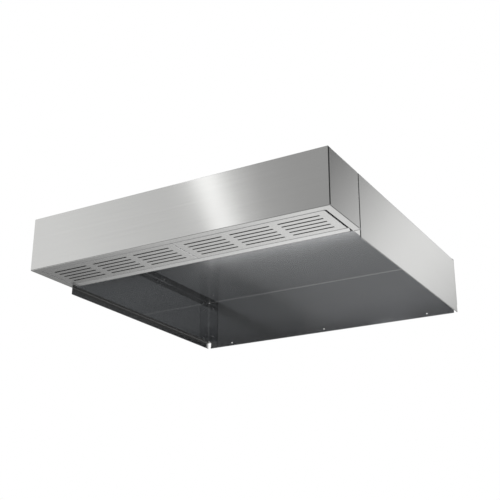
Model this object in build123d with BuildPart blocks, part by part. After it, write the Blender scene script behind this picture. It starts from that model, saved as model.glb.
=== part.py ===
"""Folded stainless-steel hood for the top of a pizza deck oven.

A front header with two lift-out slotted grilles is bolted to an open canopy that hangs over the
oven's top edges. X runs to the right, Y to the rear and Z up. The origin lies on the ground plane
under the middle of the hood. All sizes are in millimetres.
"""

import os

from build123d import *

os.makedirs("parts", exist_ok=True)

# Overall sizes
hood_width = 1110.0
body_depth = 1103.6
hood_height = 210.0
header_depth = 210.0
skirt_drop = 24.0

# Sheet and its folds
sheet = 1.0
inner_bend = 1.0
seam_bend = 4.0
hem_gap = 1.0
hem_bend = 1.2
corner_relief = 0.5
fold_clearance = 0.2

# Header box
fascia_side_gap = 1.5
fascia_stand_off = 3.2
fascia_top_lap = 22.0
fascia_bottom_lap = 15.0
cheek_flange = 20.0
cheek_foot = 15.0
foot_gap = 1.0
wall_inset = 6.0
wall_window_width = 440.0
wall_window_height = 68.0
wall_window_corner = 10.0
wall_window_pitch = 510.0
wall_window_centre = 145.0

# Underside of the header
frame_inset = 1.0
front_margin = 25.0
rear_margin = 29.0
left_margin = 30.0
right_margin = 25.0
lip_height = 13.0
rail_upstand = 30.0
rail_end_gap = 0.5
rail_clip_width = 6.0
rail_clip_start = 4.0

# Lift-out grilles
grille_start_gap = 0.5
grille_joint_gap = 0.5
grille_slide_gap = 4.5
grille_edge_gap = 1.0
grille_hook = 8.0
hook_clearance = 0.3
end_rim_height = 12.0
slot_length = 135.0
slot_width = 5.0
slot_bridge = 30.0
slot_row_pitch = 24.5
slot_rows = 5
slot_groups = 3

# Canopy
top_flange = 40.0
front_flange = 25.0
rear_flange = 45.0
ledge_reach = 22.0
roof_inset = 1.0
roof_drop = 25.0
drop_side_gap = 2.0
rear_lap = 15.0
rear_hem_height = 8.0
rear_notch_width = 14.0
rear_notch_height = 30.0

# Fixing holes in the rear skirt
fixing_hole_radius = 2.5
fixing_hole_spacing = 435.0
fixing_hole_height = 13.0

# Smoke outlet
collar_radius = 74.5
collar_height = 69.0
collar_flange = 25.0
collar_setback = 380.0
collar_rivet_inset = 12.0
collar_rivet_count = 8

# Blind rivets
rivet_radius = 2.0
rivet_head_radius = 4.0
rivet_head_height = 1.3
rivet_tail_radius = 2.8
rivet_tail_height = 3.0
rivet_clearance = 0.1
ceiling_rivet_inset = 17.0
ceiling_rivet_pitch = 346.0
ceiling_rivet_end = 21.0
rear_rivet_inset = 24.0
rear_rivet_heights = (53.0, 177.0)
header_rivet_inset = 12.0
header_rivet_pitch = 110.0

# Fascia screws
screw_radius = 2.0
screw_head_radius = 4.0
screw_head_height = 2.4
screw_length = 9.5
screw_clearance = 0.2
screw_setback = 12.0
screw_pitch = 320.0
screw_count = 4

# Bolts between header and canopy
bolt_radius = 3.0
bolt_clearance = 0.3
bolt_head_flats = 10.0
bolt_head_height = 4.0
bolt_thread_spare = 2.0
washer_radius = 6.0
washer_thickness = 1.2
nut_height = 5.0
nut_clearance = 0.05
side_bolt_inset = 13.0
side_bolt_heights = (70.0, 170.0)
top_bolt_drop = 14.0
top_bolt_pitch = 260.0
top_bolt_count = 4

# Places that follow from the sizes
outer_bend = inner_bend + sheet
hem = 2 * sheet + hem_gap
half_width = hood_width / 2
front = -(body_depth + rivet_head_height) / 2
rear = front + body_depth
joint = front + header_depth
wall_front = joint - sheet
top = hood_height
roof_top = top - sheet
flange_top = roof_top - sheet
flange_high = flange_top - outer_bend - corner_relief
underside = skirt_drop
frame_top = underside + sheet
window_front = front + front_margin
window_rear = joint - rear_margin
window_left = left_margin - half_width
window_right = half_width - right_margin
collar_y = front + collar_setback
collar_bore = collar_radius - sheet
rear_inside = rear - sheet

# Fastener places
ceiling_rivet_last = rear - ceiling_rivet_end
ceiling_rivet_points = [
    (side * (half_width - ceiling_rivet_inset), ceiling_rivet_last - step * ceiling_rivet_pitch, roof_top)
    for side in (-1, 1)
    for step in range(3)
]
rear_rivet_points = [
    (side * (half_width - rear_rivet_inset), rear, height)
    for side in (-1, 1)
    for height in rear_rivet_heights
]
header_rivet_points = [
    (side * (half_width - header_rivet_inset), (front + joint) / 2 + along, roof_top)
    for side in (-1, 1)
    for along in (-header_rivet_pitch / 2, header_rivet_pitch / 2)
]
screw_points = [
    ((number - (screw_count - 1) / 2) * screw_pitch, front + screw_setback, top)
    for number in range(screw_count)
]
side_bolt_points = [
    (side * (half_width - side_bolt_inset), joint, height) for side in (-1, 1) for height in side_bolt_heights
]
top_bolt_points = [
    ((number - (top_bolt_count - 1) / 2) * top_bolt_pitch, joint, roof_top - top_bolt_drop)
    for number in range(top_bolt_count)
]
bolt_points = side_bolt_points + top_bolt_points


def folded_section(plane, points, radii, side):
    """Section of a folded sheet. The points follow one face and the metal lies on the given side."""
    with BuildSketch(plane) as section:
        with BuildLine():
            FilletPolyline(*points, radius=radii)
            offset(amount=sheet, side=side)
        make_face()
    return section.sketch


def facing_rear(points):
    """Locations whose local Z points to the rear of the hood."""
    return [Plane(origin=point, x_dir=(1, 0, 0), z_dir=(0, 1, 0)).location for point in points]


# Front fascia, a shallow channel that stands off the cheeks to leave the dark corner seam
fascia_half = half_width - fascia_side_gap
cheek_front = front + sheet + fascia_stand_off
with BuildPart() as front_fascia:
    fascia_section = folded_section(
        Plane.YZ.offset(-fascia_half),
        [
            (front + fascia_top_lap, top),
            (front, top),
            (front, frame_top),
            (front + fascia_bottom_lap, frame_top),
        ],
        outer_bend,
        Side.LEFT,
    )
    extrude(fascia_section, amount=2 * fascia_half)
    for side in (-1, 1):
        with Locations((side * (half_width - cheek_foot - foot_gap), cheek_front, frame_top)):
            Box(
                cheek_foot + foot_gap,
                fascia_bottom_lap,
                outer_bend,
                align=(Align.MIN if side > 0 else Align.MAX, Align.MIN, Align.MIN),
                mode=Mode.SUBTRACT,
            )
    with Locations(*screw_points):
        Cylinder(screw_radius + screw_clearance, 4 * sheet, mode=Mode.SUBTRACT)

# Cheeks, flanged on all four edges
cheek_low = frame_top + outer_bend + corner_relief
with BuildPart() as right_cheek:
    cheek_hoop = folded_section(
        Plane.XY.offset(cheek_low),
        [
            (half_width - cheek_flange, cheek_front),
            (half_width, cheek_front),
            (half_width, wall_front),
            (half_width - cheek_flange, wall_front),
        ],
        [outer_bend, seam_bend],
        Side.LEFT,
    )
    extrude(cheek_hoop, amount=flange_high - cheek_low)
    cheek_channel = folded_section(
        Plane.XZ.offset(seam_bend - wall_front),
        [
            (half_width - cheek_foot, frame_top),
            (half_width, frame_top),
            (half_width, flange_top),
            (half_width - cheek_flange, flange_top),
        ],
        outer_bend,
        Side.LEFT,
    )
    extrude(cheek_channel, amount=wall_front - cheek_front - outer_bend - seam_bend)
    with Locations(*header_rivet_points):
        Cylinder(rivet_radius + rivet_clearance, 8 * sheet, mode=Mode.SUBTRACT)
    with Locations(*facing_rear(side_bolt_points)):
        Cylinder(bolt_radius + bolt_clearance, 8 * sheet, mode=Mode.SUBTRACT)

with BuildPart() as left_cheek:
    mirror(right_cheek.part, about=Plane.YZ)

# Bottom frame, a flat U round the window with a lip turned up along each side of it
with BuildPart() as bottom_frame:
    front_member = folded_section(
        Plane.YZ.offset(window_left + corner_relief),
        [(front + frame_inset, underside), (window_front, underside), (window_front, underside + lip_height)],
        outer_bend,
        Side.LEFT,
    )
    extrude(front_member, amount=window_right - window_left - 2 * corner_relief)
    for edge, outer, metal in (
        (window_left, frame_inset - half_width, Side.LEFT),
        (window_right, half_width - frame_inset, Side.RIGHT),
    ):
        side_member = folded_section(
            Plane.XZ.offset(-wall_front),
            [(outer, underside), (edge, underside), (edge, underside + lip_height)],
            outer_bend,
            metal,
        )
        extrude(side_member, amount=wall_front - window_front - corner_relief)
        inward = -corner_relief if edge > 0 else corner_relief
        with BuildSketch(Plane.XY.offset(underside)):
            with BuildLine():
                Polyline(
                    (outer, front + frame_inset),
                    (edge + inward, front + frame_inset),
                    (edge + inward, window_front),
                    (edge, window_front),
                    (edge, window_front + corner_relief),
                    (outer, window_front + corner_relief),
                    close=True,
                )
            make_face()
        extrude(amount=sheet)

# Rear rail, which closes the window and is welded to the wall behind it. Its ends are clipped on the slant.
rail_left = window_left + rail_end_gap
rail_right = window_right - rail_end_gap
with BuildPart() as rear_rail:
    rail_section = folded_section(
        Plane.YZ.offset(rail_left),
        [
            (window_rear, underside + lip_height),
            (window_rear, underside),
            (wall_front, underside),
            (wall_front, underside + rail_upstand),
        ],
        outer_bend,
        Side.LEFT,
    )
    extrude(rail_section, amount=rail_right - rail_left)
    for end, inner in (
        (rail_left, rail_left + rail_clip_width),
        (rail_right, rail_right - rail_clip_width),
    ):
        with BuildSketch(Plane.XY.offset(underside)):
            with BuildLine():
                Polyline(
                    (end, window_rear + rail_clip_start),
                    (end, wall_front - outer_bend),
                    (inner, wall_front - outer_bend),
                    close=True,
                )
            make_face()
        extrude(amount=sheet, mode=Mode.SUBTRACT)

# Wall between header and canopy. Its two windows for the smoke lie above what the slots show.
with BuildPart() as header_rear_wall:
    with BuildSketch(Plane.XZ.offset(-joint)):
        with Locations((0, (underside + flange_top) / 2)):
            Rectangle(2 * (half_width - wall_inset), flange_top - underside)
        with Locations((0, wall_window_centre)):
            with GridLocations(wall_window_pitch, 0, 2, 1):
                RectangleRounded(
                    wall_window_width, wall_window_height, wall_window_corner, mode=Mode.SUBTRACT
                )
    extrude(amount=sheet)
    with Locations(*facing_rear(bolt_points)):
        Cylinder(bolt_radius + bolt_clearance, 8 * sheet, mode=Mode.SUBTRACT)

# Header top, folded down at the rear between the cheeks' flanges
header_top_front = front + sheet + inner_bend + fold_clearance
header_drop_half = half_width - cheek_flange - drop_side_gap
with BuildPart() as header_top_panel:
    header_top_section = folded_section(
        Plane.YZ.offset(roof_inset - half_width),
        [(header_top_front, roof_top), (wall_front, roof_top), (wall_front, roof_top - roof_drop)],
        outer_bend,
        Side.RIGHT,
    )
    extrude(header_top_section, amount=2 * (half_width - roof_inset))
    for side in (-1, 1):
        with Locations((side * header_drop_half, wall_front, roof_top)):
            Box(
                cheek_flange + drop_side_gap,
                outer_bend,
                roof_drop,
                align=(Align.MIN if side > 0 else Align.MAX, Align.MAX, Align.MAX),
                mode=Mode.SUBTRACT,
            )
    with Locations(*header_rivet_points):
        Cylinder(rivet_radius + rivet_clearance, 8 * sheet, mode=Mode.SUBTRACT)
    with Locations(*screw_points):
        Cylinder(screw_radius + screw_clearance, 8 * sheet, mode=Mode.SUBTRACT)
    with Locations(*facing_rear(top_bolt_points)):
        Cylinder(bolt_radius + bolt_clearance, 8 * sheet, mode=Mode.SUBTRACT)

# Grilles, shallow pans that hook over the lips of the window
grille_width = (
    window_right - window_left - grille_start_gap - grille_joint_gap - grille_slide_gap
) / 2
grille_pitch = grille_width + grille_joint_gap
grille_left_edge = window_left + grille_start_gap
right_grille_left_edge = grille_left_edge + grille_pitch
pan_front = window_front + grille_edge_gap
pan_rear = window_rear - grille_edge_gap
hook_height = underside + lip_height + hook_clearance
with BuildPart() as grille_right:
    pan_section = folded_section(
        Plane.YZ.offset(right_grille_left_edge + outer_bend),
        [
            (pan_front - grille_hook, hook_height),
            (pan_front, hook_height),
            (pan_front, underside),
            (pan_rear, underside),
            (pan_rear, hook_height),
            (pan_rear + grille_hook, hook_height),
        ],
        [inner_bend, outer_bend, outer_bend, inner_bend],
        Side.LEFT,
    )
    extrude(pan_section, amount=grille_width - 2 * outer_bend)
    end_rim_section = folded_section(
        Plane.XZ.offset(outer_bend + corner_relief - pan_rear),
        [
            (right_grille_left_edge, underside + end_rim_height),
            (right_grille_left_edge, underside),
            (right_grille_left_edge + grille_width, underside),
            (right_grille_left_edge + grille_width, underside + end_rim_height),
        ],
        outer_bend,
        Side.LEFT,
    )
    extrude(end_rim_section, amount=pan_rear - pan_front - 2 * (outer_bend + corner_relief))
    with BuildSketch(Plane.XY.offset(underside)):
        with Locations((right_grille_left_edge + grille_width / 2, (pan_front + pan_rear) / 2)):
            with GridLocations(slot_length + slot_bridge, slot_row_pitch, slot_groups, slot_rows):
                SlotOverall(slot_length, slot_width)
    extrude(amount=sheet, mode=Mode.SUBTRACT)

with BuildPart() as grille_left:
    with Locations((-grille_pitch, 0, 0)):
        add(grille_right.part)

# Side panels: roof flange, outer face, hemmed skirt and the ledge that rests on the oven
with BuildPart() as right_side_panel:
    side_channel = folded_section(
        Plane.XZ.offset(outer_bend - rear_inside),
        [
            (half_width - top_flange, flange_top),
            (half_width, flange_top),
            (half_width, 0),
            (half_width - hem, 0),
            (half_width - hem, underside),
            (half_width - ledge_reach, underside),
        ],
        [outer_bend, hem_bend, hem_bend, inner_bend],
        Side.RIGHT,
    )
    extrude(side_channel, amount=rear_inside - joint - 2 * outer_bend)
    side_hoop = folded_section(
        Plane.XY.offset(rear_notch_height),
        [
            (half_width - front_flange, joint),
            (half_width, joint),
            (half_width, rear_inside),
            (half_width - rear_flange, rear_inside),
        ],
        outer_bend,
        Side.LEFT,
    )
    extrude(side_hoop, amount=flange_high - rear_notch_height)
    with Locations(*ceiling_rivet_points):
        Cylinder(rivet_radius + rivet_clearance, 8 * sheet, mode=Mode.SUBTRACT)
    with Locations(*facing_rear(rear_rivet_points)):
        Cylinder(rivet_radius + rivet_clearance, 8 * sheet, mode=Mode.SUBTRACT)
    with Locations(*facing_rear(side_bolt_points)):
        Cylinder(bolt_radius + bolt_clearance, 8 * sheet, mode=Mode.SUBTRACT)

with BuildPart() as left_side_panel:
    mirror(right_side_panel.part, about=Plane.YZ)

# Rear panel, lapped over the roof and hemmed below, with its lower corners notched
with BuildPart() as rear_panel:
    rear_section = folded_section(
        Plane.YZ.offset(-half_width),
        [
            (rear - rear_lap, top),
            (rear, top),
            (rear, 0),
            (rear - hem, 0),
            (rear - hem, rear_hem_height),
        ],
        [outer_bend, hem_bend, hem_bend],
        Side.RIGHT,
    )
    extrude(rear_section, amount=hood_width)
    for side in (-1, 1):
        with Locations((side * half_width, rear, 0)):
            Box(
                rear_notch_width,
                hem,
                rear_notch_height,
                align=(Align.MAX if side > 0 else Align.MIN, Align.MAX, Align.MIN),
                mode=Mode.SUBTRACT,
            )
    with Locations(*facing_rear(rear_rivet_points)):
        Cylinder(rivet_radius + rivet_clearance, 8 * sheet, mode=Mode.SUBTRACT)
    fixing_points = [(number * fixing_hole_spacing, rear, fixing_hole_height) for number in (-1, 0, 1)]
    with Locations(*facing_rear(fixing_points)):
        Cylinder(fixing_hole_radius, 4 * hem, mode=Mode.SUBTRACT)

# Canopy roof, folded down at the front against the header wall
roof_rear = rear - sheet - inner_bend - fold_clearance
roof_drop_half = half_width - front_flange - drop_side_gap
collar_rivet_circle = collar_radius + collar_rivet_inset
with BuildPart() as canopy_roof:
    roof_section = folded_section(
        Plane.YZ.offset(roof_inset - half_width),
        [(joint, roof_top - roof_drop), (joint, roof_top), (roof_rear, roof_top)],
        outer_bend,
        Side.RIGHT,
    )
    extrude(roof_section, amount=2 * (half_width - roof_inset))
    for side in (-1, 1):
        with Locations((side * roof_drop_half, joint, roof_top)):
            Box(
                front_flange + drop_side_gap,
                outer_bend,
                roof_drop,
                align=(Align.MIN if side > 0 else Align.MAX, Align.MIN, Align.MAX),
                mode=Mode.SUBTRACT,
            )
    with Locations((0, collar_y, roof_top)):
        Cylinder(collar_radius, 8 * sheet, mode=Mode.SUBTRACT)
        with PolarLocations(collar_rivet_circle, collar_rivet_count):
            Cylinder(rivet_radius + rivet_clearance, 8 * sheet, mode=Mode.SUBTRACT)
    with Locations(*ceiling_rivet_points):
        Cylinder(rivet_radius + rivet_clearance, 8 * sheet, mode=Mode.SUBTRACT)
    with Locations(*facing_rear(top_bolt_points)):
        Cylinder(bolt_radius + bolt_clearance, 8 * sheet, mode=Mode.SUBTRACT)

# Ring riveted to the roof, and the outlet collar that stands on it for the smoke duct to slide over
with BuildPart() as collar_ring:
    with BuildSketch(Plane.XY.offset(roof_top)):
        with Locations((0, collar_y)):
            Circle(collar_radius + collar_flange)
            Circle(collar_bore, mode=Mode.SUBTRACT)
            with PolarLocations(collar_rivet_circle, collar_rivet_count):
                Circle(rivet_radius + rivet_clearance, mode=Mode.SUBTRACT)
    extrude(amount=sheet)

with BuildPart() as outlet_collar:
    with BuildSketch(Plane.XY.offset(top)):
        with Locations((0, collar_y)):
            Circle(collar_radius)
            Circle(collar_bore, mode=Mode.SUBTRACT)
    extrude(amount=collar_height)

# Blind rivet, head up, with its tail spread below two sheets
with BuildPart() as rivet:
    with BuildSketch(Plane.XZ):
        with BuildLine():
            SagittaArc((-rivet_head_radius, 0), (rivet_head_radius, 0), rivet_head_height)
            Line((-rivet_head_radius, 0), (rivet_head_radius, 0))
        make_face()
        with Locations((0, -sheet)):
            Rectangle(2 * rivet_radius, 2 * sheet)
        with Locations((0, -2 * sheet - rivet_tail_height / 2)):
            RectangleRounded(2 * rivet_tail_radius, rivet_tail_height, rivet_tail_height / 3)
        with Locations((0, 0)):
            Rectangle(
                2 * rivet_head_radius,
                4 * rivet_tail_height + 4 * sheet,
                align=(Align.MAX, Align.CENTER),
                mode=Mode.SUBTRACT,
            )
    revolve(axis=Axis.Z)

with BuildPart() as ceiling_rivets:
    with Locations(*ceiling_rivet_points):
        add(rivet.part)

with BuildPart() as rear_corner_rivets:
    with Locations(*facing_rear(rear_rivet_points)):
        add(rivet.part)

with BuildPart() as header_top_rivets:
    with Locations(*header_rivet_points):
        add(rivet.part)

with BuildPart() as collar_rivets:
    with Locations((0, collar_y, top)):
        with PolarLocations(collar_rivet_circle, collar_rivet_count):
            add(rivet.part)

# Pan-head screws through the fascia's top lap
with BuildPart() as screw:
    with BuildSketch(Plane.XY):
        Circle(screw_head_radius)
    extrude(amount=screw_head_height)
    fillet(screw.faces().sort_by(Axis.Z)[-1].edges(), screw_head_height / 3)
    with BuildSketch(Plane.XY):
        Circle(screw_radius)
    extrude(amount=-screw_length)

with BuildPart() as fascia_screws:
    with Locations(*screw_points):
        add(screw.part)

# Bolts, washers and nuts between header and canopy, each made with its axis to the rear
bolt_stack = 3 * sheet + washer_thickness + nut_height + bolt_thread_spare
with BuildPart() as bolt:
    with BuildSketch(Plane.XY):
        RegularPolygon(bolt_head_flats / 2, 6, major_radius=False)
    extrude(amount=-bolt_head_height)
    with BuildSketch(Plane.XY):
        Circle(bolt_radius)
    extrude(amount=bolt_stack)

with BuildPart() as washer:
    with BuildSketch(Plane.XY):
        Circle(washer_radius)
        Circle(bolt_radius + bolt_clearance, mode=Mode.SUBTRACT)
    extrude(amount=washer_thickness)

with BuildPart() as nut:
    with BuildSketch(Plane.XY):
        RegularPolygon(bolt_head_flats / 2, 6, major_radius=False)
        Circle(bolt_radius + nut_clearance, mode=Mode.SUBTRACT)
    extrude(amount=nut_height)

with BuildPart() as joint_bolts:
    with Locations(*facing_rear([(x, y - 2 * sheet, z) for x, y, z in bolt_points])):
        add(bolt.part)

with BuildPart() as joint_washers:
    with Locations(*facing_rear([(x, y + sheet, z) for x, y, z in bolt_points])):
        add(washer.part)

with BuildPart() as joint_nuts:
    with Locations(*facing_rear([(x, y + sheet + washer_thickness, z) for x, y, z in bolt_points])):
        add(nut.part)

# One file for each piece
pieces = {
    "front_fascia": front_fascia,
    "left_cheek": left_cheek,
    "right_cheek": right_cheek,
    "bottom_frame": bottom_frame,
    "rear_rail": rear_rail,
    "header_rear_wall": header_rear_wall,
    "header_top_panel": header_top_panel,
    "grille_left": grille_left,
    "grille_right": grille_right,
    "left_side_panel": left_side_panel,
    "right_side_panel": right_side_panel,
    "rear_panel": rear_panel,
    "canopy_roof": canopy_roof,
    "collar_ring": collar_ring,
    "outlet_collar": outlet_collar,
    "ceiling_rivets": ceiling_rivets,
    "rear_corner_rivets": rear_corner_rivets,
    "header_top_rivets": header_top_rivets,
    "collar_rivets": collar_rivets,
    "fascia_screws": fascia_screws,
    "joint_bolts": joint_bolts,
    "joint_washers": joint_washers,
    "joint_nuts": joint_nuts,
}
for name, piece in pieces.items():
    piece.part.label = name
    export_step(piece.part, f"parts/{name}.step")
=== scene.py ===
"""Looks of the pizza oven hood: brushed steel, studio light and camera, in metres in the CAD frame."""

import math
from dataclasses import dataclass

import bpy
from mathutils import Euler, Matrix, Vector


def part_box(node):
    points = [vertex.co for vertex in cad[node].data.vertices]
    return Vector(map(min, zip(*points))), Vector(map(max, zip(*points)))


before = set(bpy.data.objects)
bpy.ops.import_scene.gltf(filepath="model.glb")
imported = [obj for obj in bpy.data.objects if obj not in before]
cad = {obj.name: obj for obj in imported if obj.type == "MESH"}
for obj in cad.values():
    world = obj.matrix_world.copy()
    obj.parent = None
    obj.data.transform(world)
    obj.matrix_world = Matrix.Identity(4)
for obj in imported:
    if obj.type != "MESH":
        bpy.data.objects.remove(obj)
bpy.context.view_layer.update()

scene = bpy.context.scene


# Camera, below the hood and to the right of its front, solved from the photograph
CAMERA_PLACE = (1.5382, -2.6711, -0.9840)
CAMERA_AZIMUTH = -0.52951
CAMERA_ELEVATION = 0.35947
CAMERA_ROLL = 0.00235
CAMERA_LENS = 65.618
CAMERA_SENSOR = 36

camera = bpy.data.objects.new("camera", bpy.data.cameras.new("camera"))
scene.collection.objects.link(camera)
turn = Euler((math.pi / 2 + CAMERA_ELEVATION, 0, -CAMERA_AZIMUTH)).to_matrix()
turn = turn @ Matrix.Rotation(CAMERA_ROLL, 3, "Z")
camera.matrix_world = Matrix.Translation(CAMERA_PLACE) @ turn.to_4x4()
camera.data.lens = CAMERA_LENS
camera.data.sensor_width = CAMERA_SENSOR
scene.camera = camera


# Node trees. Most of a noise lies between these two values
NOISE_LOW = 0.3
NOISE_HIGH = 0.7


class Nodes:
    """Short calls for building a material's node tree."""

    def __init__(self, tree):
        self.tree = tree

    def fill(self, socket, value):
        if isinstance(value, bpy.types.NodeSocket):
            self.tree.links.new(value, socket)
        else:
            socket.default_value = value

    def add(self, kind, inputs=(), **settings):
        node = self.tree.nodes.new("ShaderNode" + kind)
        for name, value in settings.items():
            setattr(node, name, value)
        for name, value in dict(inputs).items():
            self.fill(node.inputs[name], value)
        return node

    def math(self, operation, first, second):
        return self.add("Math", {0: first, 1: second}, operation=operation).outputs[0]

    def vector_math(self, operation, first, second):
        """The node itself, because what it gives is a vector or a value."""
        return self.add("VectorMath", {0: first, 1: second}, operation=operation)

    def spread(self, value, low, high, new_low, new_high):
        inputs = {"Value": value, "From Min": low, "From Max": high, "To Min": new_low, "To Max": new_high}
        return self.add("MapRange", inputs).outputs["Result"]

    def noise(self, place, scale, detail, roughness):
        inputs = {"Vector": place, "Scale": scale, "Detail": detail, "Roughness": roughness}
        return self.add("TexNoise", inputs).outputs["Fac"]

    def vary(self, noise, value, change):
        """Value that a noise raises and lowers by a change."""
        return self.spread(noise, NOISE_LOW, NOISE_HIGH, value - change, value + change)

    def mix(self, first, second, share):
        """Colour between two. The Mix node's colour sockets are its seventh and eighth."""
        node = self.add("Mix", data_type="RGBA", clamp_factor=False)
        self.fill(node.inputs[0], share)
        self.fill(node.inputs[6], first)
        self.fill(node.inputs[7], second)
        return node.outputs[2]


def new_material(name):
    material = bpy.data.materials.new(name)
    material.use_nodes = True
    material.node_tree.nodes.clear()
    return material, Nodes(material.node_tree)


# Steel sheet. Its streaks have one scale along the grain and one across it, and its clouds another
STREAKS_ALONG = 2
STREAKS_ACROSS = 1500
CLOUDS = 7
TONE_CHANGE = 0.04
ROUGHNESS_CHANGE = 0.01

# The highlight spreads across the grain
ACROSS_GRAIN = {"X": (0.03, 1, 1), "Y": (1, 0.03, 1), "Z": (1, 1, 0.03)}

# The brushed faces look away from this point and the mill faces towards it
HOOD_MIDDLE = (0, 0, 0.1)
FACING_EDGE = 0.001

# Slots in each grille, and the painted shade along them
SLOT_PITCH = (0.165, 0.0245)
SLOT_HALF = (0.0675, 0.0025)
SLOT_ROWS_REACH = 0.055
SLOT_SHADE_FULL = 0.0006
SLOT_SHADE_NONE = 0.0018
SLOT_SHADE_PAST_END = 0.001
SLOT_SHADE_COLOUR = (0.03, 0.03, 0.03, 1)

BRUSHED = (0.62, 0.62, 0.61)
BRIGHT_RAIL = (0.74, 0.74, 0.73)
# Painted shade: the darker grey of the faces inside the header
HEADER_SHADE_GREY = (0.45, 0.45, 0.46)
BRIGHT_MILL = (0.62, 0.63, 0.64)
SIDE_MILL = (0.54, 0.55, 0.56)
RIVET_GREY = (0.8, 0.8, 0.8)
ZINC = (0.62, 0.64, 0.67)


@dataclass
class Band:
    """One grey on all that lies within reach of a place on an axis."""

    axis: str
    centre: float
    reach: float
    grey: float


@dataclass
class Mill:
    """Plain finish of the faces that look into the hood.

    Film is the share of a dull film on the metal, sheen is the weight of a soft coat over it, and
    marks are bands of painted shade and painted highlight.
    """

    colour: tuple
    roughness: float
    film: float = 0.0
    sheen: float = 0.0
    marks: tuple = ()


def banded(nodes, place, colour, bands):
    """Colour with bands over it."""
    for band in bands:
        side = nodes.add("SeparateXYZ", {0: place}).outputs[band.axis]
        inputs = {0: side, 1: band.centre, 2: band.reach}
        share = nodes.add("Math", inputs, operation="COMPARE").outputs[0]
        colour = nodes.mix(colour, (band.grey, band.grey, band.grey, 1), share)
    return colour


def slot_painted_shade(nodes, place, centre):
    """Share of painted shade along the edges of a grille's slots."""
    offset = nodes.vector_math("SUBTRACT", place, centre).outputs[0]
    sides = nodes.add("SeparateXYZ", {0: offset}).outputs
    along = nodes.math("PINGPONG", sides["X"], SLOT_PITCH[0] / 2)
    across = nodes.math("PINGPONG", sides["Y"], SLOT_PITCH[1] / 2)
    share = nodes.spread(across, SLOT_HALF[1] + SLOT_SHADE_FULL, SLOT_HALF[1] + SLOT_SHADE_NONE, 1, 0)
    beside = nodes.math("LESS_THAN", along, SLOT_HALF[0] + SLOT_SHADE_PAST_END)
    share = nodes.math("MULTIPLY", share, beside)
    inside = nodes.math("LESS_THAN", nodes.math("ABSOLUTE", sides["Y"], 0), SLOT_ROWS_REACH)
    return nodes.math("MULTIPLY", share, inside)


def steel(name, grain, colour, roughness, anisotropy=0.0, mill=None, edges=(), slots=None):
    """Steel sheet brushed along one axis, with a mill finish on the faces that look into the hood.

    Edges are bands on all its faces, which paint shade into seams and highlights onto folds. Slots is
    the middle of a grille's slots, which have painted shade along them. What is the same all over is set
    on the shader itself.
    """
    material, nodes = new_material(name)
    place = nodes.add("TexCoord").outputs["Object"]
    scale = [STREAKS_ALONG if axis == grain else STREAKS_ACROSS for axis in "XYZ"]
    stretched = nodes.add("Mapping", {"Vector": place, "Scale": scale}).outputs[0]
    streaks = nodes.noise(stretched, scale=1, detail=4, roughness=0.7)
    clouds = nodes.noise(place, scale=CLOUDS, detail=5, roughness=0.6)

    colour = nodes.mix((0, 0, 0, 1), (*colour, 1), nodes.vary(streaks, 1, TONE_CHANGE))
    fine = nodes.vary(streaks, roughness, ROUGHNESS_CHANGE)
    rough = nodes.math("ADD", fine, nodes.vary(clouds, 0, ROUGHNESS_CHANGE))
    shader = {"Metallic": 1, "Coat Weight": 0, "Coat Roughness": 0.5, "Anisotropic": anisotropy}
    relief = streaks
    if mill:
        facing = nodes.add("NewGeometry").outputs["Normal"]
        away = nodes.vector_math("SUBTRACT", place, HOOD_MIDDLE).outputs[0]
        outward = nodes.vector_math("DOT_PRODUCT", facing, away).outputs["Value"]
        outside = nodes.spread(outward, -FACING_EDGE, FACING_EDGE, 0, 1)
        plain = banded(nodes, place, (*mill.colour, 1), mill.marks)
        colour = nodes.mix(plain, colour, outside)
        plain_rough = nodes.vary(clouds, mill.roughness, ROUGHNESS_CHANGE)
        rough = nodes.spread(outside, 0, 1, plain_rough, rough)
        if anisotropy:
            shader["Anisotropic"] = nodes.spread(outside, 0, 1, 0, anisotropy)
        if mill.film:
            shader["Metallic"] = nodes.spread(outside, 0, 1, 1 - mill.film, 1)
        if mill.sheen:
            shader["Coat Weight"] = nodes.spread(outside, 0, 1, mill.sheen, 0)
        relief = nodes.math("MULTIPLY", streaks, outside)
    # Edge bands: painted shade in the seams and painted highlights on the folds
    colour = banded(nodes, place, colour, edges)
    # Painted shade along the edges of the grille's slots
    if slots is not None:
        colour = nodes.mix(colour, SLOT_SHADE_COLOUR, slot_painted_shade(nodes, place, slots))
    if anisotropy:
        shader["Tangent"] = nodes.add("CombineXYZ", dict(zip("XYZ", ACROSS_GRAIN[grain]))).outputs[0]
    shader["Base Color"] = colour
    shader["Roughness"] = rough
    bump = nodes.add("Bump", {"Strength": 0.02, "Distance": 0.0001, "Height": relief})
    shader["Normal"] = bump.outputs["Normal"]
    surface = nodes.add("BsdfPrincipled", shader).outputs[0]
    nodes.add("OutputMaterial", {"Surface": surface})
    return material


def dress(material, *names):
    for name in names:
        cad[name].data.materials.clear()
        cad[name].data.materials.append(material)


# Fascia
# Faces inside the header take the darker grey as painted shade
HEADER_SHADED_MILL = Mill(HEADER_SHADE_GREY, roughness=0.6)
front_steel = steel("front_steel", "X", BRUSHED, roughness=0.14, anisotropy=1.0, mill=HEADER_SHADED_MILL)
dress(front_steel, "front_fascia")

# Cheeks. Their folds carry painted shade in the seams at the corner and beside the canopy
cheek_low, cheek_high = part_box("right_cheek")
cheek_steel = steel(
    "cheek_steel",
    "Y",
    BRUSHED,
    roughness=0.2,
    anisotropy=0.9,
    mill=HEADER_SHADED_MILL,
    edges=(
        Band("Y", cheek_low.y, reach=0.00175, grey=0.1),
        Band("Y", cheek_high.y, reach=0.00275, grey=0.14),
    ),
)
dress(cheek_steel, "left_cheek", "right_cheek")

# Top and rear wall of the header
top_steel = steel("header_top_steel", "X", BRUSHED, roughness=0.25, anisotropy=0.9, mill=HEADER_SHADED_MILL)
dress(top_steel, "header_top_panel")
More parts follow.
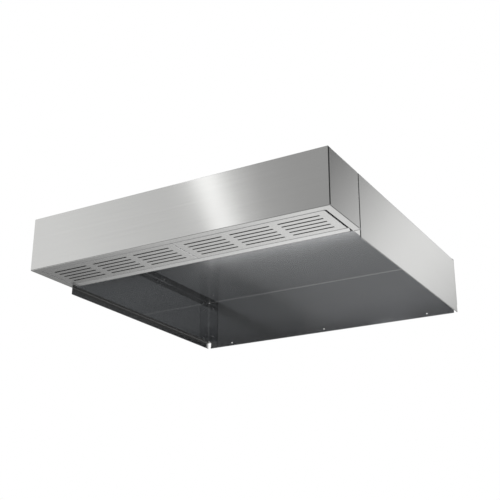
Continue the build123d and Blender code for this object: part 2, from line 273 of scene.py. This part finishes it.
# The header's rear wall is the darker grey all over, as painted shade
wall_steel = steel("wall_steel", "X", HEADER_SHADE_GREY, roughness=0.6, mill=Mill(HEADER_SHADE_GREY, roughness=0.4, film=0.25))
dress(wall_steel, "header_rear_wall")

# Frame and rail round the grilles
under_steel = steel("under_steel", "X", BRUSHED, roughness=0.2, anisotropy=0.8, mill=HEADER_SHADED_MILL)
dress(under_steel, "bottom_frame")
rail_steel = steel("rail_steel", "X", BRIGHT_RAIL, roughness=0.28, mill=HEADER_SHADED_MILL)
dress(rail_steel, "rear_rail")

# Grilles. Their folds carry a painted highlight, brightest at the ends, and their hooks reach past the
# folds
GRILLE_HOOK = 0.008
FOLD_REACH = 0.0022
END_GREY = 0.95
SIDE_GREY = 0.74
for grille in ("grille_left", "grille_right"):
    low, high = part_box(grille)
    grille_steel = steel(
        grille + "_steel",
        "X",
        BRUSHED,
        roughness=0.2,
        anisotropy=0.8,
        mill=HEADER_SHADED_MILL,
        edges=(
            Band("X", low.x, FOLD_REACH, END_GREY),
            Band("X", high.x, FOLD_REACH, END_GREY),
            Band("Y", low.y + GRILLE_HOOK, FOLD_REACH, SIDE_GREY),
            Band("Y", high.y - GRILLE_HOOK, FOLD_REACH, SIDE_GREY),
        ),
        slots=(low + high) / 2,
    )
    dress(grille_steel, grille)

# Side panels. Skirt and roof flange carry painted shade, the rear fold a painted highlight, and the seam
# to the cheek painted shade
side_low, side_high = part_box("left_side_panel")
REAR_FOLD_INSET = 0.00365
side_mill = Mill(
    SIDE_MILL,
    roughness=0.05,
    film=0.03,
    marks=(
        Band("Z", side_low.z, reach=0.0245, grey=0.32),
        Band("Z", side_high.z, reach=0.0012, grey=0.27),
        Band("Y", side_high.y - REAR_FOLD_INSET, reach=0.0015, grey=0.85),
    ),
)
side_steel = steel(
    "side_steel",
    "Y",
    BRUSHED,
    roughness=0.14,
    anisotropy=0.9,
    mill=side_mill,
    edges=(Band("Y", side_low.y, reach=0.00245, grey=0.1),),
)
dress(side_steel, "left_side_panel", "right_side_panel")

# Rear panel, with a painted shadow beside the left side panel and a painted highlight along the fold under
# the roof
rear_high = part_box("rear_panel")[1]
SHADOW_INSET = 0.001
ROOF_FOLD_INSET = 0.0028
rear_mill = Mill(
    BRIGHT_MILL,
    roughness=0.16,
    film=0.11,
    marks=(
        Band("X", side_high.x + SHADOW_INSET, reach=0.0012, grey=0.2),
        Band("Z", rear_high.z - ROOF_FOLD_INSET, reach=0.0014, grey=1.0),
    ),
)
rear_steel = steel("rear_steel", "X", BRUSHED, roughness=0.14, anisotropy=1.0, mill=rear_mill)
dress(rear_steel, "rear_panel")

# Roof and smoke outlet
roof_mill = Mill(BRIGHT_MILL, roughness=0.19, film=0.07, sheen=0.5)
roof_steel = steel("roof_steel", "X", BRUSHED, roughness=0.25, anisotropy=0.9, mill=roof_mill)
dress(roof_steel, "canopy_roof", "collar_ring", "outlet_collar")

# Fasteners
rivet_steel = steel("rivet_steel", "Z", RIVET_GREY, roughness=0.45)
dress(rivet_steel, "ceiling_rivets", "rear_corner_rivets", "header_top_rivets", "collar_rivets")
zinc_steel = steel("zinc_steel", "Z", ZINC, roughness=0.35)
dress(zinc_steel, "fascia_screws", "joint_bolts", "joint_washers", "joint_nuts")


# Studio: a pale floor below the camera, a white surround, and cards that only reflections see
FLOOR_HEIGHT = -1.25
FLOOR_HALF = 60
FLOOR_TONE = 0.8
SWEEP_STEPS = 24


def stage_object(name, shape, material):
    """Piece of the studio. A shape is its corners and faces."""
    corners, faces = shape
    mesh = bpy.data.meshes.new(name)
    mesh.from_pydata(corners, [], faces)
    mesh.materials.append(material)
    thing = bpy.data.objects.new(name, mesh)
    scene.collection.objects.link(thing)
    return thing


def level(sides, depths, height):
    """Level rectangle."""
    left, right = sides
    near, far = depths
    corners = [(left, near, height), (right, near, height), (right, far, height), (left, far, height)]
    return corners, [(0, 1, 2, 3)]


def upright(sides, depth, low, high):
    """Upright rectangle that faces the hood from behind it."""
    left, right = sides
    corners = [(left, depth, low), (right, depth, low), (right, depth, high), (left, depth, high)]
    return corners, [(0, 1, 2, 3)]


def sweep(along, ends, radius, low, high):
    """Strip bent round the X or Y axis, from one elevation in degrees to another."""
    corners = []
    faces = []
    for step in range(SWEEP_STEPS + 1):
        angle = math.radians(low + (high - low) * step / SWEEP_STEPS)
        out = radius * math.cos(angle)
        up = radius * math.sin(angle)
        for place in ends:
            corners.append((place, -out, up) if along == "X" else (out, place, up))
    for step in range(SWEEP_STEPS):
        faces.append((2 * step, 2 * step + 1, 2 * step + 3, 2 * step + 2))
    return corners, faces


def ends_of(stops):
    """First and last place of (place, tone) stops."""
    return stops[0][0], stops[-1][0]


def ramp(nodes, value, stops):
    """Grey that follows (place, tone) stops along a coordinate."""
    first, last = ends_of(stops)
    node = nodes.add("ValToRGB", {"Fac": nodes.spread(value, first, last, 0, 1)})
    elements = node.color_ramp.elements
    while len(elements) < len(stops):
        elements.new(0.5)
    for element, (place, tone) in zip(elements, stops):
        element.position = (place - first) / (last - first)
        element.color = (tone, tone, tone, 1)
    return node.outputs["Color"]


def card(name, shape, axis, stops, strength_axis=None, strength_stops=None):
    """Card whose tone changes along one axis, and its strength along another."""
    material, nodes = new_material(name)
    place = nodes.add("SeparateXYZ", {0: nodes.add("TexCoord").outputs["Object"]}).outputs
    glow = nodes.add("Emission", {"Color": ramp(nodes, place[axis], stops)})
    if strength_stops:
        nodes.fill(glow.inputs["Strength"], ramp(nodes, place[strength_axis], strength_stops))
    nodes.add("OutputMaterial", {"Surface": glow.outputs[0]})
    thing = stage_object(name, shape, material)
    thing.visible_camera = False
    thing.visible_diffuse = False
    thing.visible_shadow = False
    thing.visible_transmission = False
    return thing


# Floor
floor_material, floor_nodes = new_material("floor")
floor_shader = floor_nodes.add("BsdfDiffuse", {"Color": (FLOOR_TONE, FLOOR_TONE, FLOOR_TONE, 1)})
floor_nodes.add("OutputMaterial", {"Surface": floor_shader.outputs[0]})
floor_ends = (-FLOOR_HALF, FLOOR_HALF)
stage_object("floor", level(floor_ends, floor_ends, FLOOR_HEIGHT), floor_material)

# Front: a wide card that fades to the right
FRONT_SLANT = -0.14
FRONT_STOPS = (
    (-6.0, 0.97),
    (-3.6, 0.96),
    (-2.7, 0.8),
    (-2.35, 0.75),
    (-2.1, 0.7),
    (-1.6, 0.55),
    (-1.2, 0.46),
    (0.4, 0.42),
    (1.6, 0.3),
    (6.0, 0.5),
)
front_shape = sweep("X", ends_of(FRONT_STOPS), radius=5, low=-8, high=70)
front_card = card("front_card", front_shape, "X", FRONT_STOPS)
front_card.rotation_euler.y = FRONT_SLANT

# Key: the bright strip that makes the fascia's highlight, just before the front card
KEY_STOPS = (
    (-2.26, 0.75),
    (-2.12, 0.76),
    (-2.04, 1.44),
    (-1.92, 1.66),
    (-1.83, 1.2),
    (-1.73, 0.76),
    (-1.5, 0.55),
)
KEY_STRENGTH_STOPS = (
    (0.0, 0.8),
    (1.7, 0.9),
    (2.3, 0.95),
    (2.6, 1.12),
    (4.5, 1.12),
)
key_shape = sweep("X", ends_of(KEY_STOPS), radius=4.95, low=2, high=65)
key_card = card("key_card", key_shape, "X", KEY_STOPS, "Z", KEY_STRENGTH_STOPS)
key_card.rotation_euler.y = FRONT_SLANT

# Right side: a card that is brightest behind the hood
SIDE_STOPS = (
    (-4.0, 0.6),
    (1.2, 0.35),
    (2.9, 0.12),
    (3.6, 0.18),
    (4.2, 0.25),
    (4.75, 0.41),
    (5.3, 0.64),
    (5.98, 0.91),
    (6.6, 1.03),
    (7.3, 1.0),
    (8.1, 0.86),
    (9.5, 0.56),
    (12.0, 0.3),
)
side_shape = sweep("Y", ends_of(SIDE_STOPS), radius=4, low=-8, high=70)
card("side_card", side_shape, "Y", SIDE_STOPS)

# Just above the floor: cards that are dark where the mill faces mirror them, and paler far out
CARD_HEIGHT = FLOOR_HEIGHT + 0.05
FLOOR_CARDS_MEET = 1.0
REAR_CARD_DEPTH = 5.0
FRONT_FLOOR_STOPS = (
    (-8.0, 0.55),
    (-5.0, 0.4),
    (-3.6, 0.17),
    (-2.5, 0.2),
    (-1.2, 0.34),
    (0.0, 0.3),
    (1.2, 0.28),
    (1.75, 0.17),
    (1.98, 0.17),
    (2.2, 0.25),
    (3.2, 0.22),
    (5.0, 0.4),
    (8.0, 0.55),
)
FRONT_FLOOR_STRENGTH_STOPS = (
    (-8.0, 2.2),
    (-5.2, 1.0),
    (FLOOR_CARDS_MEET, 1.0),
)
front_floor_shape = level(ends_of(FRONT_FLOOR_STOPS), ends_of(FRONT_FLOOR_STRENGTH_STOPS), CARD_HEIGHT)
card("front_floor_card", front_floor_shape, "X", FRONT_FLOOR_STOPS, "Y", FRONT_FLOOR_STRENGTH_STOPS)
REAR_FLOOR_STOPS = (
    (-8.0, 0.55),
    (-5.0, 0.4),
    (-3.6, 0.22),
    (-2.95, 0.27),
    (-2.5, 0.46),
    (-2.1, 0.58),
    (-1.78, 0.74),
    (-1.44, 0.85),
    (-1.08, 1.0),
    (-0.5, 1.12),
    (-0.2, 0.5),
    (0.5, 0.4),
    (0.9, 0.07),
    (2.1, 0.07),
    (2.35, 0.25),
    (3.2, 0.25),
    (5.0, 0.4),
    (8.0, 0.55),
)
rear_floor_shape = level(ends_of(REAR_FLOOR_STOPS), (FLOOR_CARDS_MEET, REAR_CARD_DEPTH), CARD_HEIGHT)
card("rear_floor_card", rear_floor_shape, "X", REAR_FLOOR_STOPS)

# Ledge: a dark strip over the rear floor card, which the left ledge mirrors
LEDGE_CARD_HEIGHT = FLOOR_HEIGHT + 0.06
LEDGE_CARD_SIDES = (-3.8, -2.85)
LEDGE_STOPS = (
    (2.65, 0.04),
    (3.45, 0.04),
    (3.55, 0.2),
    (REAR_CARD_DEPTH, 0.22),
)
ledge_shape = level(LEDGE_CARD_SIDES, ends_of(LEDGE_STOPS), LEDGE_CARD_HEIGHT)
card("ledge_card", ledge_shape, "Y", LEDGE_STOPS)

# Behind: an upright card that carries on from the rear floor card
REAR_CARD_TOP = 1.2
REAR_STOPS = (
    (-9.0, 0.25),
    (-5.8, 0.29),
    (-4.17, 0.53),
    (-3.64, 0.73),
    (-3.1, 0.85),
    (-2.57, 0.97),
    (-1.4, 1.05),
    (-0.4, 0.15),
    (2.5, 0.15),
    (9.0, 0.55),
)
rear_shape = upright(ends_of(REAR_STOPS), REAR_CARD_DEPTH, FLOOR_HEIGHT, REAR_CARD_TOP)
card("rear_card", rear_shape, "X", REAR_STOPS)

# World: white where the camera or a reflection sees it, and a plain soft light on everything else
WORLD_LIGHT = 0.7
WORLD_WHITE = 1.0
world = bpy.data.worlds.new("world")
scene.world = world
world.use_nodes = True
world.node_tree.nodes.clear()
world_nodes = Nodes(world.node_tree)
rays = world_nodes.add("LightPath").outputs
seen = world_nodes.math("MAXIMUM", rays["Is Camera Ray"], rays["Is Glossy Ray"])
seen = world_nodes.math("MAXIMUM", seen, rays["Is Transmission Ray"])
light = world_nodes.add("Background", {"Color": (1, 1, 1, 1), "Strength": WORLD_LIGHT}).outputs[0]
white = world_nodes.add("Background", {"Color": (1, 1, 1, 1), "Strength": WORLD_WHITE}).outputs[0]
both = world_nodes.add("MixShader", {0: seen, 1: light, 2: white}).outputs[0]
world_nodes.add("OutputWorld", {"Surface": both})

scene.view_settings.view_transform = "Standard"
